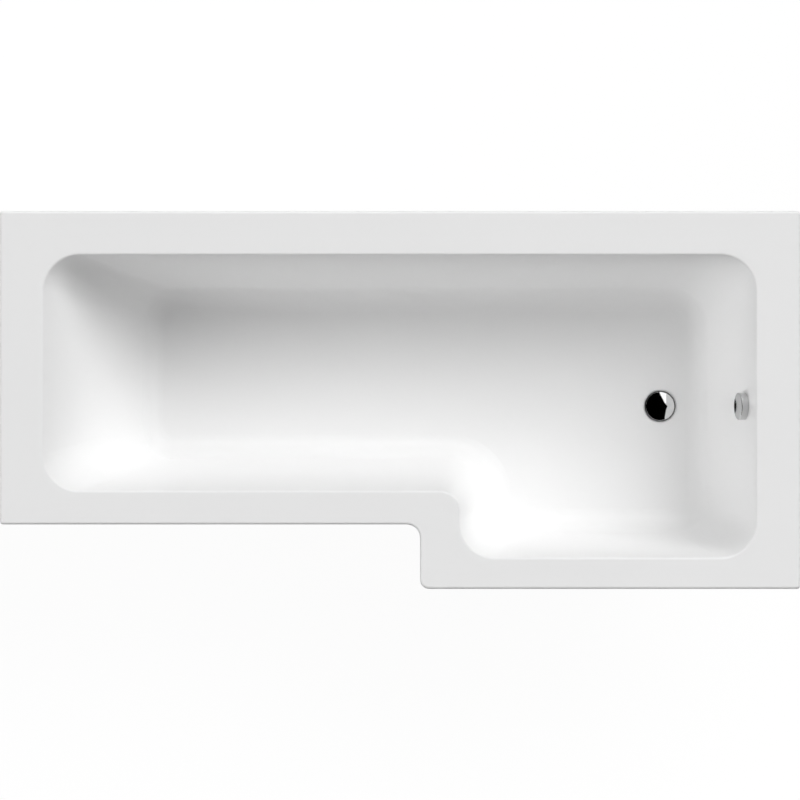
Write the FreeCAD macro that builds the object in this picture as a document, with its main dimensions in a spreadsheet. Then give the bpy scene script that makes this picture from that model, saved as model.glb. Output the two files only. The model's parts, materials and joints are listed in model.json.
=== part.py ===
import FreeCAD, Part
import collections
import math
import os
import types

import Sketcher

# L-shaped shower bath, millimetres. +X runs from the sloping head end to the waste end, +Y to the wall
# behind the bath and +Z up. The origin is on the floor, under the middle of the rim's box.

SIZES = {
    # Rim outline, seen from above
    "bath_length": 1800,
    "bath_width": 850,
    "narrow_width": 705,
    "wide_length": 855,
    "rim_corner": 7,
    "step_outer_corner": 20,
    "step_inner_corner": 31,
    # Rim section
    "rim_height": 550,
    "rim_back": 98,
    "rim_head": 97,
    "rim_foot": 98,
    "rim_front": 75,
    "rim_wide_front": 70,
    "rim_step": 88,
    "skirt_height": 40,
    "rim_rounding": 6,
    "lip_rounding": 5,
    # Well: how far each wall leans in on its way down to the floor, and its corners seen from above
    "well_depth": 400,
    "head_lean": 236,
    "foot_lean": 118.5,
    "back_lean": 82,
    "front_lean": 81,
    "wide_front_lean": 61,
    "step_lean": 72,
    "well_corner": 82,
    "well_step_corner": 42,
    "floor_corner": 72,
    "floor_step_corner": 90,
    "floor_rounding": 56,
    "floor_fall": 0.5,
    # Laid-up thicknesses
    "acrylic": 5,
    "glassfibre": 3,
    "bond_gap": 0.3,
    # Board under the floor, battens under the rim
    "board_thickness": 18,
    "board_margin": 12,
    "board_corner": 20,
    "batten_width": 36,
    "batten_thickness": 18,
    "batten_end_gap": 15,
    # Cradle rails and legs
    "rail_width": 40,
    "rail_height": 25,
    "rail_sheet": 2,
    "rail_overhang": 22,
    "leg_reach": 52,
    "head_rail_inset": 500,
    "middle_rail_before_step": 65,
    "foot_rail_inset": 460,
    "rod_radius": 6,
    "rod_hole_clearance": 0.5,
    "rod_travel": 30,
    "rod_spare": 5,
    "rod_chamfer": 1,
    "thread_clearance": 0.05,
    "nut_flats": 19,
    "nut_thickness": 10,
    "pad_radius": 28,
    "pad_rim": 6,
    "pad_neck_radius": 12,
    "pad_height": 20,
    "pad_floor": 7,
    # Screws into the board and the back batten
    "screw_radius": 2,
    "screw_length": 15,
    "screw_head_radius": 4.5,
    "screw_head": 3,
    "screw_clearance": 0.3,
    "rail_screw_inset": 25,
    # Wall brackets under the back rim
    "bracket_width": 60,
    "bracket_sheet": 2.5,
    "bracket_flange": 28,
    "bracket_drop": 45,
    "bracket_gap": 4,
    "bracket_hole_pitch": 36,
    "bracket_hole_radius": 3.5,
    "bracket_inset": 300,
    # Waste: its distance from the foot end, and from the middle of the wide floor towards the wall
    "waste_inset": 312,
    "waste_offset": 10.5,
    "seat_radius": 37,
    "seat_depth": 2.5,
    "seat_wall": 6,
    "waste_hole_radius": 26,
    "flange_radius": 35,
    "flange_thickness": 3,
    "flange_rounding": 0.6,
    "flange_countersink": 1.5,
    "gasket_thickness": 1.5,
    "lower_gasket_thickness": 2,
    "gasket_inset": 1.5,
    "tail_radius": 22.5,
    "tail_wall": 3,
    "tail_length": 38,
    "spoke_width": 4,
    "spoke_height": 8,
    "spoke_drop": 24,
    "hub_wall": 3,
    "waste_collar_radius": 37,
    "waste_collar": 4,
    "waste_body_wall": 4.5,
    "waste_body_height": 62,
    "outlet_radius": 23.9,
    "outlet_bore": 18,
    "outlet_length": 22,
    "port_drop": 36,
    "port_reach": 62,
    # Plug and its press mechanism
    "plug_radius": 32.5,
    "plug_edge": 3,
    "plug_crown": 2.5,
    "plug_rounding": 0.8,
    "plug_gap": 1,
    "plug_travel": 10,
    "seal_radius": 29,
    "seal_width": 5,
    "seal_groove": 1.2,
    "seal_gap": 0.2,
    "plug_hub_radius": 8,
    "plug_hub": 6,
    "stem_radius": 4,
    "stem_socket": 2,
    "running_clearance": 0.06,
    "piston_radius": 6.8,
    "piston_length": 4.5,
    "piston_slack": 0.5,
    "cartridge_bore": 7,
    "cartridge_wall": 2.5,
    "cartridge_end": 3,
    "cartridge_collar": 3,
    "cartridge_sink": 8,
    "spring_length": 8,
    "spring_wire_radius": 0.6,
    "spring_radius": 5.4,
    "spring_gap": 0.1,
    # Overflow, on the foot wall
    "overflow_drop": 84,
    "overflow_hole_radius": 23,
    "overflow_gasket_front": 1,
    "cap_radius": 30.8,
    "cap_depth": 16.6,
    "cap_wall": 1.6,
    "cap_rounding": 2.5,
    "cap_lift": 0.6,
    "cap_slot_width": 34,
    "cap_slot_height": 6,
    "cap_spigot_wall": 2,
    "cap_spigot_length": 6,
    "cap_window": 14,
    "core_flange_radius": 27,
    "core_flange": 2.5,
    "core_radius": 20,
    "core_wall": 4,
    "core_engagement": 10,
    "fit_clearance": 0.1,
    "overflow_gasket": 3,
    "overflow_gasket_radius": 29,
    "elbow_collar_radius": 31,
    "elbow_collar": 4,
    "elbow_wall": 3.5,
    "elbow_length": 46,
    "spout_length": 64,
    # Overflow hose and its couplings
    "hose_bore": 12,
    "hose_valley_radius": 13.8,
    "hose_rib_radius": 15.5,
    "hose_rib_pitch": 5,
    "hose_socket": 15,
    "hose_cuff": 32,
    "hose_clearance": 0.2,
    "socket_wall": 3,
    "hose_seal": 4,
    "coupling_wall": 4,
    "coupling_grip": 12,
    "coupling_lip": 3,
    "grip_radius": 2.2,
}

# Hollows round a coupling nut's grip
GRIP_COUNT = 12
# Turns of the plug's spring, the pairs of arcs that make up each turn, and the points that measure it
SPRING_TURNS = 3
ARCS_PER_TURN = 4
POINTS_PER_TURN = 60
# A rounding takes at most this share of the radius that it runs round.
FILLET_SHARE = 0.9
# Points closer than this, in millimetres, are the same point.
TOUCH = 0.01
# A cut right through a sheet starts or ends this many thicknesses away.
THROUGH = 3
# Where the four circles of a hose rib lie along its pitch.
RIB_FOOT, RIB_SHOULDER = 0.1, 0.3
RIGHT_ANGLE = 90
HALF_TURN = 180
FULL_TURN = 360
HEX_SIDES = 6
Y_AXIS = FreeCAD.Vector(0, 1, 0)
Z_AXIS = FreeCAD.Vector(0, 0, 1)


class Size:
    """A length, angle or ratio: its value now, and the formula that ties it to the sheet."""

    def __init__(self, value, formula):
        self.value = float(value)
        self.formula = formula

    def __add__(self, other):
        other = as_size(other)
        return Size(self.value + other.value, f"({self.formula} + {other.formula})")

    def __radd__(self, other):
        return as_size(other) + self

    def __sub__(self, other):
        other = as_size(other)
        return Size(self.value - other.value, f"({self.formula} - {other.formula})")

    def __rsub__(self, other):
        return as_size(other) - self

    def __mul__(self, other):
        other = as_size(other)
        return Size(self.value * other.value, f"({self.formula} * {other.formula})")

    def __rmul__(self, other):
        return as_size(other) * self

    def __truediv__(self, other):
        other = as_size(other)
        return Size(self.value / other.value, f"({self.formula} / {other.formula})")

    def __neg__(self):
        return as_size(0) - self


def as_size(number):
    return number if isinstance(number, Size) else Size(number, repr(number))


def smaller(one, other):
    return Size(min(one.value, other.value), f"min({one.formula}; {other.formula})")


def sine(degrees):
    degrees = as_size(degrees)
    return Size(math.sin(math.radians(degrees.value)), f"sin({degrees.formula} * 1 deg)")


def cosine(degrees):
    degrees = as_size(degrees)
    return Size(math.cos(math.radians(degrees.value)), f"cos({degrees.formula} * 1 deg)")


def tangent(degrees):
    return Size(math.tan(math.radians(degrees.value)), f"tan({degrees.formula} * 1 deg)")


def slope_angle(run, rise):
    ratio = run / rise
    return Size(math.degrees(math.atan(ratio.value)), f"(atan({ratio.formula}) / 1 deg)")


doc = FreeCAD.newDocument("shower_bath")
sheet = doc.addObject("Spreadsheet::Sheet", "sizes")
for row, (alias, number) in enumerate(SIZES.items(), start=1):
    sheet.set(f"A{row}", alias)
    sheet.set(f"B{row}", str(number))
    sheet.setAlias(f"B{row}", alias)
doc.recompute()
dim = types.SimpleNamespace(**{alias: Size(sheet.get(alias), f"sizes.{alias}") for alias in SIZES})
ZERO = as_size(0)
nodes = []


# Helpers for document objects


def bind(thing, **properties):
    """Ties properties of a document object to the sheet."""
    for name, amount in properties.items():
        thing.setExpression(name, as_size(amount).formula)


def place(thing, x=ZERO, y=ZERO, z=ZERO, turn_about_y=None):
    """Puts a finished object at a point, turned about Y where an angle in degrees is given."""
    if turn_about_y is not None:
        turn = as_size(turn_about_y)
        thing.Placement = FreeCAD.Placement(FreeCAD.Vector(), FreeCAD.Rotation(Y_AXIS, turn.value))
        thing.setExpression("Placement.Rotation.Angle", turn.formula)
    for letter, amount in zip("xyz", (x, y, z)):
        thing.setExpression(f"Placement.Base.{letter}", as_size(amount).formula)
    return thing


def node(thing, label):
    """Names a finished sub-part, so that it gets a file of its own."""
    thing.Label = label
    nodes.append(thing)
    return thing


def group(label, members):
    """Identical pieces that share one node."""
    compound = doc.addObject("Part::Compound", label)
    compound.Links = members
    return node(compound, label)


def new_body(name):
    return doc.addObject("PartDesign::Body", name)


def origin_feature(body, role):
    return next(feature for feature in body.Origin.OriginFeatures if feature.Role == role)


def new_sketch(body, name, plane="XY_Plane", x=ZERO, y=ZERO, z=ZERO, tilt=None):
    """A sketch on one of its body's own planes, shifted, and tilted about Y where an angle is given."""
    sketch = body.newObject("Sketcher::SketchObject", name)
    sketch.AttachmentSupport = [(origin_feature(body, plane), "")]
    sketch.MapMode = "FlatFace"
    if tilt is not None:
        sketch.AttachmentOffset = FreeCAD.Placement(
            FreeCAD.Vector(), FreeCAD.Rotation(Y_AXIS, tilt.value))
        sketch.setExpression("AttachmentOffset.Rotation.Angle", tilt.formula)
    for letter, amount in zip("xyz", (x, y, z)):
        sketch.setExpression(f"AttachmentOffset.Base.{letter}", as_size(amount).formula)
    return sketch


def rule(sketch, amount, kind, *places):
    """A sketch dimension that is tied to the sheet."""
    index = sketch.addConstraint(Sketcher.Constraint(kind, *places, amount.value))
    sketch.setExpression(f"Constraints[{index}]", amount.formula)


def pin_point(sketch, geometry, end, point):
    """Fixes one end of a line, or a circle's centre, at a point measured from the sketch's origin."""
    rule(sketch, point[0], "DistanceX", -1, 1, geometry, end)
    rule(sketch, point[1], "DistanceY", -1, 1, geometry, end)


def draw_polygon(sketch, points, domed=None):
    """A closed outline of straight sides. The domed side is an arc whose centre is on the upright axis."""
    points = [(as_size(x), as_size(y)) for x, y in points]
    corners = [FreeCAD.Vector(x.value, y.value, 0) for x, y in points]
    count = len(corners)
    for index, start in enumerate(corners):
        end = corners[(index + 1) % count]
        if index == domed:
            rise = end.y - start.y
            radius = (start.x ** 2 + rise ** 2) / (2 * rise)
            circle = Part.Circle(FreeCAD.Vector(0, end.y - radius, 0), Z_AXIS, radius)
            begin = math.asin((radius - rise) / radius)
            sketch.addGeometry(Part.ArcOfCircle(circle, begin, math.pi / 2), False)
        else:
            sketch.addGeometry(Part.LineSegment(start, end), False)
    for index in range(count):
        sketch.addConstraint(Sketcher.Constraint("Coincident", index, 2, (index + 1) % count, 1))
        pin_point(sketch, index, 1, points[index])
    if domed is not None:
        sketch.addConstraint(Sketcher.Constraint("PointOnObject", domed, 3, -2))


def draw_box(sketch, x_low, x_high, y_low, y_high):
    draw_polygon(sketch, [(x_low, y_low), (x_high, y_low), (x_high, y_high), (x_low, y_high)])


def draw_circle(sketch, radius, x=ZERO, y=ZERO):
    x, y = as_size(x), as_size(y)
    circle = Part.Circle(FreeCAD.Vector(x.value, y.value, 0), Z_AXIS, radius.value)
    index = sketch.addGeometry(circle, False)
    pin_point(sketch, index, 3, (x, y))
    rule(sketch, radius, "Radius", index)


def draw_rounded(sketch, corners):
    """An outline of level and upright lines, anticlockwise, with an arc of its own at each corner."""
    count = len(corners)
    points = [FreeCAD.Vector(x.value, y.value, 0) for x, y, radius in corners]
    ways = [(points[(index + 1) % count] - points[index]).normalize() for index in range(count)]
    trims = [radius.value for x, y, radius in corners]
    for index in range(count):
        after = (index + 1) % count
        start = points[index] + ways[index] * trims[index]
        end = points[after] - ways[index] * trims[after]
        sketch.addGeometry(Part.LineSegment(start, end), False)
    for index, (x, y, radius) in enumerate(corners):
        way_in, way_out = ways[index - 1], ways[index]
        turns_left = way_in.cross(way_out).z > 0
        opening = way_out * -1 if turns_left else way_in
        begin = math.atan2(opening.y, opening.x)
        centre = points[index] + (way_out - way_in) * radius.value
        circle = Part.Circle(centre, Z_AXIS, radius.value)
        arc = sketch.addGeometry(Part.ArcOfCircle(circle, begin, begin + math.pi / 2), False)
        entry, leaving = (1, 2) if turns_left else (2, 1)
        sketch.addConstraint(Sketcher.Constraint("Tangent", (index - 1) % count, 2, arc, entry))
        sketch.addConstraint(Sketcher.Constraint("Tangent", arc, leaving, index, 1))
        rule(sketch, radius, "Radius", arc)
    for index, (x, y, radius) in enumerate(corners):
        level = abs(ways[index].y) < abs(ways[index].x)
        sketch.addConstraint(Sketcher.Constraint("Horizontal" if level else "Vertical", index))
        kind, amount = ("DistanceY", y) if level else ("DistanceX", x)
        rule(sketch, amount, kind, -1, 1, index, 1)


def pad(body, sketch, length, reverse=False, middle=False):
    feature = body.newObject("PartDesign::Pad", sketch.Name + "_pad")
    feature.Profile = sketch
    feature.Reversed = reverse
    feature.Midplane = middle
    bind(feature, Length=length)
    return feature


def pocket(body, sketch, length, reverse=False, middle=False):
    """A cut, which has to take material away."""
    doc.recompute()
    before = body.Shape.Volume
    feature = body.newObject("PartDesign::Pocket", sketch.Name + "_pocket")
    feature.Profile = sketch
    feature.Reversed = reverse
    feature.Midplane = middle
    bind(feature, Length=length)
    doc.recompute()
    if not feature.Shape.Volume < before:
        raise RuntimeError(f"{feature.Name} cuts nothing")
    return feature


def turned_body(name, section, domed=None):
    """A body turned about its own Z axis, from (radius, height) points."""
    body = new_body(name)
    sketch = new_sketch(body, name + "_section", "XZ_Plane")
    draw_polygon(sketch, section, domed)
    feature = body.newObject("PartDesign::Revolution", name + "_turned")
    feature.Profile = sketch
    feature.ReferenceAxis = (sketch, ["V_Axis"])
    feature.Angle = FULL_TURN
    return body


def ring_section(inner, outer, low, high):
    return [(inner, low), (outer, low), (outer, high), (inner, high)]


def round_edges(body, name, radius, wanted):
    """Rounds the edges of the body that a test picks."""
    doc.recompute()
    base = body.Tip
    picked = [f"Edge{index}" for index, edge in enumerate(base.Shape.Edges, start=1) if wanted(edge)]
    if not picked:
        raise RuntimeError(f"{name} finds no edge")
    feature = body.newObject("PartDesign::Fillet", name)
    feature.Base = (base, picked)
    bind(feature, Radius=radius)
    doc.recompute()
    return feature


def is_circle_at(edge, radius, height):
    """Whether an edge is a level circle of a radius, about a body's own axis, at a height."""
    box = edge.BoundBox
    flat = box.ZLength < TOUCH and abs(box.ZMin - height.value) < TOUCH
    return flat and abs(box.XMax - radius.value) < TOUCH and abs(box.XMin + radius.value) < TOUCH


def repeat_round(body, feature, count):
    pattern = body.newObject("PartDesign::PolarPattern", feature.Name + "_round")
    pattern.Originals = [feature]
    pattern.Axis = (origin_feature(body, "Z_Axis"), [""])
    pattern.Angle = FULL_TURN
    pattern.Occurrences = count
    body.Tip = pattern


# Places that several pieces share
half_length = dim.bath_length / 2
half_width = dim.bath_width / 2
floor_level = dim.rim_height - dim.well_depth
rim_underside = dim.rim_height - dim.acrylic
backing_start = dim.acrylic + dim.bond_gap
backing_end = backing_start + dim.glassfibre
board_drop = backing_end + dim.bond_gap + dim.board_thickness
floor_round = smaller(dim.floor_rounding, FILLET_SHARE * dim.floor_corner)

# The rim's lip and the floor's edge
lip_head = dim.rim_head - half_length
lip_foot = half_length - dim.rim_foot
lip_back = half_width - dim.rim_back
lip_front = half_width - dim.narrow_width + dim.rim_front
lip_wide_front = dim.rim_wide_front - half_width
step_face = half_length - dim.wide_length
floor_back = lip_back - dim.back_lean
floor_front = lip_front + dim.front_lean
floor_wide_front = lip_wide_front + dim.wide_front_lean

# The waste's centre
waste_x = half_length - dim.waste_inset
waste_y = (floor_back + floor_wide_front) / 2 + dim.waste_offset

# The foot wall's lean from upright, and the overflow's centre on the wall's inner face
floor_end_run = lip_foot - dim.foot_lean - waste_x
foot_wall_lean = lip_foot - waste_x - floor_end_run * cosine(dim.floor_fall)
foot_wall_height = dim.well_depth + floor_end_run * sine(dim.floor_fall)
foot_angle = slope_angle(foot_wall_lean, foot_wall_height)
overflow_x = lip_foot - dim.overflow_drop * tangent(foot_angle)
overflow_z = dim.rim_height - dim.overflow_drop

# Heights in the waste, from its seat upwards and downwards
seat_level = floor_level - dim.seat_depth
flange_level = seat_level + dim.gasket_thickness
plug_level = flange_level + dim.flange_thickness + dim.plug_gap
collar_level = seat_level - dim.acrylic - dim.lower_gasket_thickness
port_level = collar_level - dim.port_drop
cartridge_length = (2 * dim.cartridge_end + dim.spring_length + dim.piston_length
                    + dim.plug_travel + dim.piston_slack)
cartridge_level = flange_level - dim.cartridge_sink - cartridge_length
cartridge_radius = dim.cartridge_bore + dim.cartridge_wall
spring_level = cartridge_level + dim.cartridge_end
piston_level = spring_level + dim.spring_length

# Depths in the overflow, square to the foot wall: 0 is its inner face, and minus is outwards
elbow_depth = -(backing_end * cosine(foot_angle) + dim.overflow_gasket + 2 * dim.fit_clearance)
elbow_end = elbow_depth - dim.elbow_length
socket_radius = dim.hose_valley_radius + dim.hose_clearance
spout_radius = socket_radius + dim.socket_wall
spout_depth = elbow_end + dim.elbow_wall + spout_radius
spout_x = overflow_x - spout_depth * cosine(foot_angle)
spout_end = overflow_z + spout_depth * sine(foot_angle) - dim.spout_length
port_end = waste_x + dim.port_reach


# Formed shell, its backing and its board


def rim_corners(inset):
    """The rim's outline, drawn in by an inset, from the head end and the wide front."""
    head = inset
    foot = dim.bath_length - inset
    back = dim.bath_width - inset
    front = dim.bath_width - dim.narrow_width + inset
    wide_front = inset
    step = dim.bath_length - dim.wide_length + inset
    return [
        (head, front, dim.rim_corner),
        (step, front, dim.step_inner_corner + inset),
        (step, wide_front, dim.step_outer_corner - inset),
        (foot, wide_front, dim.rim_corner),
        (foot, back, dim.rim_corner),
        (head, back, dim.rim_corner),
    ]


def well_corners(swell, share, corner, step_corner):
    """The well's outline, swollen outwards, where its walls have gone a share of the way to the floor."""
    head = dim.rim_head + dim.head_lean * share - swell
    foot = dim.bath_length - dim.rim_foot - dim.foot_lean * share + swell
    back = dim.bath_width - dim.rim_back - dim.back_lean * share + swell
    front = dim.bath_width - dim.narrow_width + dim.rim_front + dim.front_lean * share - swell
    wide_front = dim.rim_wide_front + dim.wide_front_lean * share - swell
    step = dim.bath_length - dim.wide_length + dim.rim_step + dim.step_lean * share - swell
    return [
        (head, front, corner),
        (step, front, step_corner),
        (step, wide_front, corner),
        (foot, wide_front, corner),
        (foot, back, corner),
        (head, back, corner),
    ]


def floor_sketch(body, name, drop):
    """A sketch in the sloping floor's plane, lowered by a drop, with its origin at the outlines' corner."""
    fall = dim.floor_fall
    run = waste_x + half_length
    return new_sketch(
        body, name,
        x=waste_x - run * cosine(fall) - drop * sine(fall),
        y=-half_width,
        z=floor_level + run * sine(fall) - drop * cosine(fall),
        tilt=fall)


def on_floor_plane(edge, drop):
    """Whether an edge lies in the sloping floor's plane, lowered by a drop."""
    fall = math.radians(dim.floor_fall.value)
    for vertex in edge.Vertexes:
        along = vertex.X - waste_x.value
        above = vertex.Z - floor_level.value
        if abs(along * math.sin(fall) + above * math.cos(fall) + drop.value) > TOUCH:
            return False
    return True


def well_solid(name, swell):
    """The well as a solid: its walls, floor and rounded floor edge, swollen outwards."""
    body = new_body(name)
    top = new_sketch(body, name + "_rim", x=-half_length, y=-half_width, z=dim.rim_height)
    draw_rounded(top, well_corners(swell, ZERO, dim.well_corner + swell, dim.well_step_corner - swell))
    low = floor_sketch(body, name + "_floor", swell)
    share = 1 + swell / dim.well_depth
    draw_rounded(low, well_corners(swell, share, dim.floor_corner + swell, dim.floor_step_corner - swell))
    loft = body.newObject("PartDesign::AdditiveLoft", name + "_walls")
    loft.Profile = top
    loft.Sections = [low]
    loft.Ruled = True
    round_edges(body, name + "_rounding", floor_round + swell, lambda edge: on_floor_plane(edge, swell))
    return body


def combine(body, name, kind, tool):
    feature = body.newObject("PartDesign::Boolean", name)
    feature.Type = kind
    feature.setObjects([tool])
    doc.recompute()


def rim_top(body):
    lowest = dim.rim_height.value - TOUCH
    level_faces = [face for face in body.Tip.Shape.Faces if face.BoundBox.ZMin > lowest]
    return max(level_faces, key=lambda face: face.Area)


def is_any(edge, others):
    return any(edge.isSame(other) for other in others)


def overflow_hole(body, name, radius):
    """A hole square through the foot wall at the overflow."""
    sketch = new_sketch(body, name, x=overflow_x, y=waste_y, z=overflow_z, tilt=foot_angle - RIGHT_ANGLE)
    draw_circle(sketch, radius)
    pocket(body, sketch, THROUGH * backing_end, middle=True)


def waste_hole(body, name, radius, level, depth):
    """A round cut at the waste, straight down from a level."""
    sketch = new_sketch(body, name, x=waste_x, y=waste_y, z=level)
    draw_circle(sketch, radius)
    pocket(body, sketch, depth)


def acrylic_shell():
    """The formed sheet: rim with its turned-down skirt, and the well with its waste seat and holes."""
    body = new_body("acrylic_shell")
    outline = new_sketch(body, "rim_outline", x=-half_length, y=-half_width, z=dim.rim_height)
    draw_rounded(outline, rim_corners(ZERO))
    pad(body, outline, dim.skirt_height, reverse=True)
    hollow = new_sketch(body, "rim_hollow", x=-half_length, y=-half_width, z=rim_underside)
    draw_rounded(hollow, rim_corners(dim.acrylic))
    pocket(body, hollow, dim.skirt_height)
    combine(body, "add_well", "Fuse", well_solid("well_outside", dim.acrylic))
    combine(body, "cut_well", "Cut", well_solid("well_inside", ZERO))
    outer = rim_top(body).OuterWire.Edges
    lip = [edge for edge in rim_top(body).Edges if not is_any(edge, outer)]
    round_edges(body, "lip_round", dim.lip_rounding, lambda edge: is_any(edge, lip))
    outer = rim_top(body).OuterWire.Edges
    rim_round = smaller(dim.rim_rounding, FILLET_SHARE * dim.rim_corner)
    round_edges(body, "rim_round", rim_round, lambda edge: is_any(edge, outer))
    boss = new_sketch(body, "waste_boss", x=waste_x, y=waste_y, z=floor_level - dim.acrylic / 2)
    draw_circle(boss, dim.seat_radius + dim.seat_wall)
    pad(body, boss, dim.seat_depth + dim.acrylic / 2, reverse=True)
    above_floor = floor_level + dim.acrylic
    waste_hole(body, "waste_seat", dim.seat_radius, above_floor, dim.acrylic + dim.seat_depth)
    waste_hole(body, "waste_hole", dim.waste_hole_radius, above_floor, above_floor)
    overflow_hole(body, "overflow_hole", dim.overflow_hole_radius)
    node(body, "acrylic_shell")


def glassfibre_backing():
    """The layer laid on the outside of the well, open round the waste and the overflow."""
    body = well_solid("backing_outside", backing_end)
    combine(body, "hollow_backing", "Cut", well_solid("backing_inside", backing_start))
    trim = new_sketch(body, "backing_trim", z=dim.rim_height)
    draw_box(trim, -half_length, half_length, -half_width, half_width)
    pocket(body, trim, backing_start)
    boss_radius = dim.seat_radius + dim.seat_wall + dim.bond_gap
    waste_hole(body, "backing_waste_hole", boss_radius, floor_level, floor_level)
    overflow_hole(body, "backing_overflow_hole", dim.overflow_hole_radius)
    node(body, "glassfibre_backing")


Rail = collections.namedtuple("Rail", "name x middle half_floor top")


def make_rail(name, x, front_edge):
    """Where a level rail lies: the sloping board rests on the end of its web that is nearer the waste."""
    far_edge = x + dim.rail_width / 2 - dim.rail_sheet - waste_x
    top = floor_level - (board_drop + far_edge * sine(dim.floor_fall)) / cosine(dim.floor_fall)
    return Rail(name, x, (floor_back + front_edge) / 2, (floor_back - front_edge) / 2, top)


rails = [
    make_rail("head", dim.head_rail_inset - half_length, floor_front),
    make_rail("middle", step_face - dim.middle_rail_before_step, floor_front),
    make_rail("foot", half_length - dim.foot_rail_inset, floor_wide_front),
]
board_inset = floor_round + backing_end + dim.board_margin


def rail_screw_places(rail):
    """Where a rail's screws stand, measured along it from its middle."""
    outer = rail.half_floor - board_inset - dim.rail_screw_inset
    inner = outer / 3
    return [outer, inner, -inner, -outer]


def leg_places(rail):
    """Which side of the bath each leg is on, and its distance along the rail from the middle."""
    reach = rail.half_floor + dim.leg_reach
    return [("back", reach), ("front", -reach)]


def base_board():
    """The board under the floor, short of the waste, with pilot holes for the rails' screws."""
    body = new_body("base_board")
    sketch = floor_sketch(body, "board_outline", board_drop)
    corners = well_corners(-board_inset, as_size(1), dim.board_corner, dim.board_corner)
    board_foot = waste_x + half_length - dim.waste_collar_radius - dim.board_margin
    for index in (3, 4):
        corners[index] = (board_foot, corners[index][1], dim.board_corner)
    draw_rounded(sketch, corners)
    pad(body, sketch, dim.board_thickness)
    for rail in rails:
        holes = new_sketch(body, f"{rail.name}_pilot_holes", z=rail.top - dim.rail_sheet)
        for along in rail_screw_places(rail):
            draw_circle(holes, dim.screw_radius + dim.screw_clearance, rail.x, rail.middle + along)
        pocket(body, holes, dim.screw_length + dim.screw_clearance, reverse=True)
    node(body, "base_board")


batten_back_y = (half_width - dim.acrylic + lip_back + backing_end) / 2


def batten(label, x_low, x_high, y_low, y_high):
    """A timber strip under the rim."""
    body = new_body(label)
    sketch = new_sketch(body, label + "_outline", z=rim_underside)
    draw_box(sketch, x_low, x_high, y_low, y_high)
    pad(body, sketch, dim.batten_thickness, reverse=True)
    return node(body, label)


def bracket_places():
    reach = half_length - dim.bracket_inset
    return [("head", -reach), ("middle", ZERO), ("foot", reach)]


def rim_battens():
    half = dim.batten_width / 2
    front_y = (half_width - dim.narrow_width + dim.acrylic + lip_front - backing_end) / 2
    wide_front_y = (-half_width + dim.acrylic + lip_wide_front - backing_end) / 2
    head_x = (-half_length + dim.acrylic + lip_head - backing_end) / 2
    foot_x = (half_length - dim.acrylic + lip_foot + backing_end) / 2
    back = batten("back_rim_batten", lip_head, lip_foot, batten_back_y - half, batten_back_y + half)
    holes = new_sketch(back, "bracket_pilot_holes", z=rim_underside - dim.batten_thickness)
    for name, x in bracket_places():
        for side in (-1, 1):
            across = x + side * dim.bracket_hole_pitch / 2
            draw_circle(holes, dim.screw_radius + dim.screw_clearance, across, batten_back_y)
    pocket(back, holes, dim.screw_length + dim.screw_clearance, reverse=True)
    front_end = step_face - dim.batten_end_gap
    batten("front_rim_batten", lip_head, front_end, front_y - half, front_y + half)
    wide_start = step_face + dim.rim_step
    batten("wide_front_rim_batten", wide_start, lip_foot, wide_front_y - half, wide_front_y + half)
    batten("head_rim_batten", head_x - half, head_x + half, lip_front, lip_back)
    batten("foot_rim_batten", foot_x - half, foot_x + half, lip_wide_front, lip_back)


# Cradle: rails, legs, nuts and screws


def cradle_rail(rail):
    """A folded channel, open downwards, that carries a leg at each end."""
    body = new_body(rail.name + "_cradle_rail")
    half = dim.rail_width / 2
    inner = half - dim.rail_sheet
    low = -dim.rail_height
    sketch = new_sketch(body, rail.name + "_rail_section", "XZ_Plane")
    draw_polygon(sketch, [
        (-half, ZERO), (-half, low), (-inner, low), (-inner, -dim.rail_sheet),
        (inner, -dim.rail_sheet), (inner, low), (half, low), (half, ZERO)])
    pad(body, sketch, 2 * (rail.half_floor + dim.leg_reach + dim.rail_overhang), middle=True)
    fold = half.value - TOUCH
    round_edges(body, rail.name + "_rail_folds", dim.rail_sheet,
                lambda edge: edge.BoundBox.ZMin > -TOUCH and abs(edge.CenterOfMass.x) > fold)
    holes = new_sketch(body, rail.name + "_rail_holes")
    for side, along in leg_places(rail):
        draw_circle(holes, dim.rod_radius + dim.rod_hole_clearance, ZERO, along)
    for along in rail_screw_places(rail):
        draw_circle(holes, dim.screw_radius + dim.screw_clearance, ZERO, along)
    pocket(body, holes, THROUGH * dim.rail_sheet)
    place(body, rail.x, rail.middle, rail.top)
    node(body, rail.name + "_cradle_rail")


def leg(rail, side, y):
    """A threaded rod in its foot pad."""
    name = f"{rail.name}_{side}"
    radius = dim.rod_radius
    chamfer = dim.rod_chamfer
    top = rail.top + dim.nut_thickness + dim.rod_travel + dim.rod_spare
    rod = turned_body(name + "_leg_rod", [
        (ZERO, dim.pad_floor), (radius - chamfer, dim.pad_floor), (radius, dim.pad_floor + chamfer),
        (radius, top - chamfer), (radius - chamfer, top), (ZERO, top)])
    bore = radius + dim.thread_clearance
    foot = turned_body(name + "_foot_pad", [
        (ZERO, ZERO), (dim.pad_radius, ZERO), (dim.pad_radius, dim.pad_rim),
        (dim.pad_neck_radius, dim.pad_height), (bore, dim.pad_height),
        (bore, dim.pad_floor), (ZERO, dim.pad_floor)])
    for piece, label in ((rod, name + "_leg_rod"), (foot, name + "_foot_pad")):
        place(piece, rail.x, y)
        node(piece, label)


def hex_nut(name, x, y, z):
    outside = doc.addObject("Part::Prism", name + "_hexagon")
    outside.Polygon = HEX_SIDES
    bind(outside, Circumradius=dim.nut_flats / 2 / cosine(HALF_TURN / HEX_SIDES), Height=dim.nut_thickness)
    thread = doc.addObject("Part::Cylinder", name + "_thread")
    bind(thread, Radius=dim.rod_radius + dim.thread_clearance, Height=dim.nut_thickness)
    nut = doc.addObject("Part::Cut", name)
    nut.Base = outside
    nut.Tool = thread
    return place(nut, x, y, z)


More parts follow.
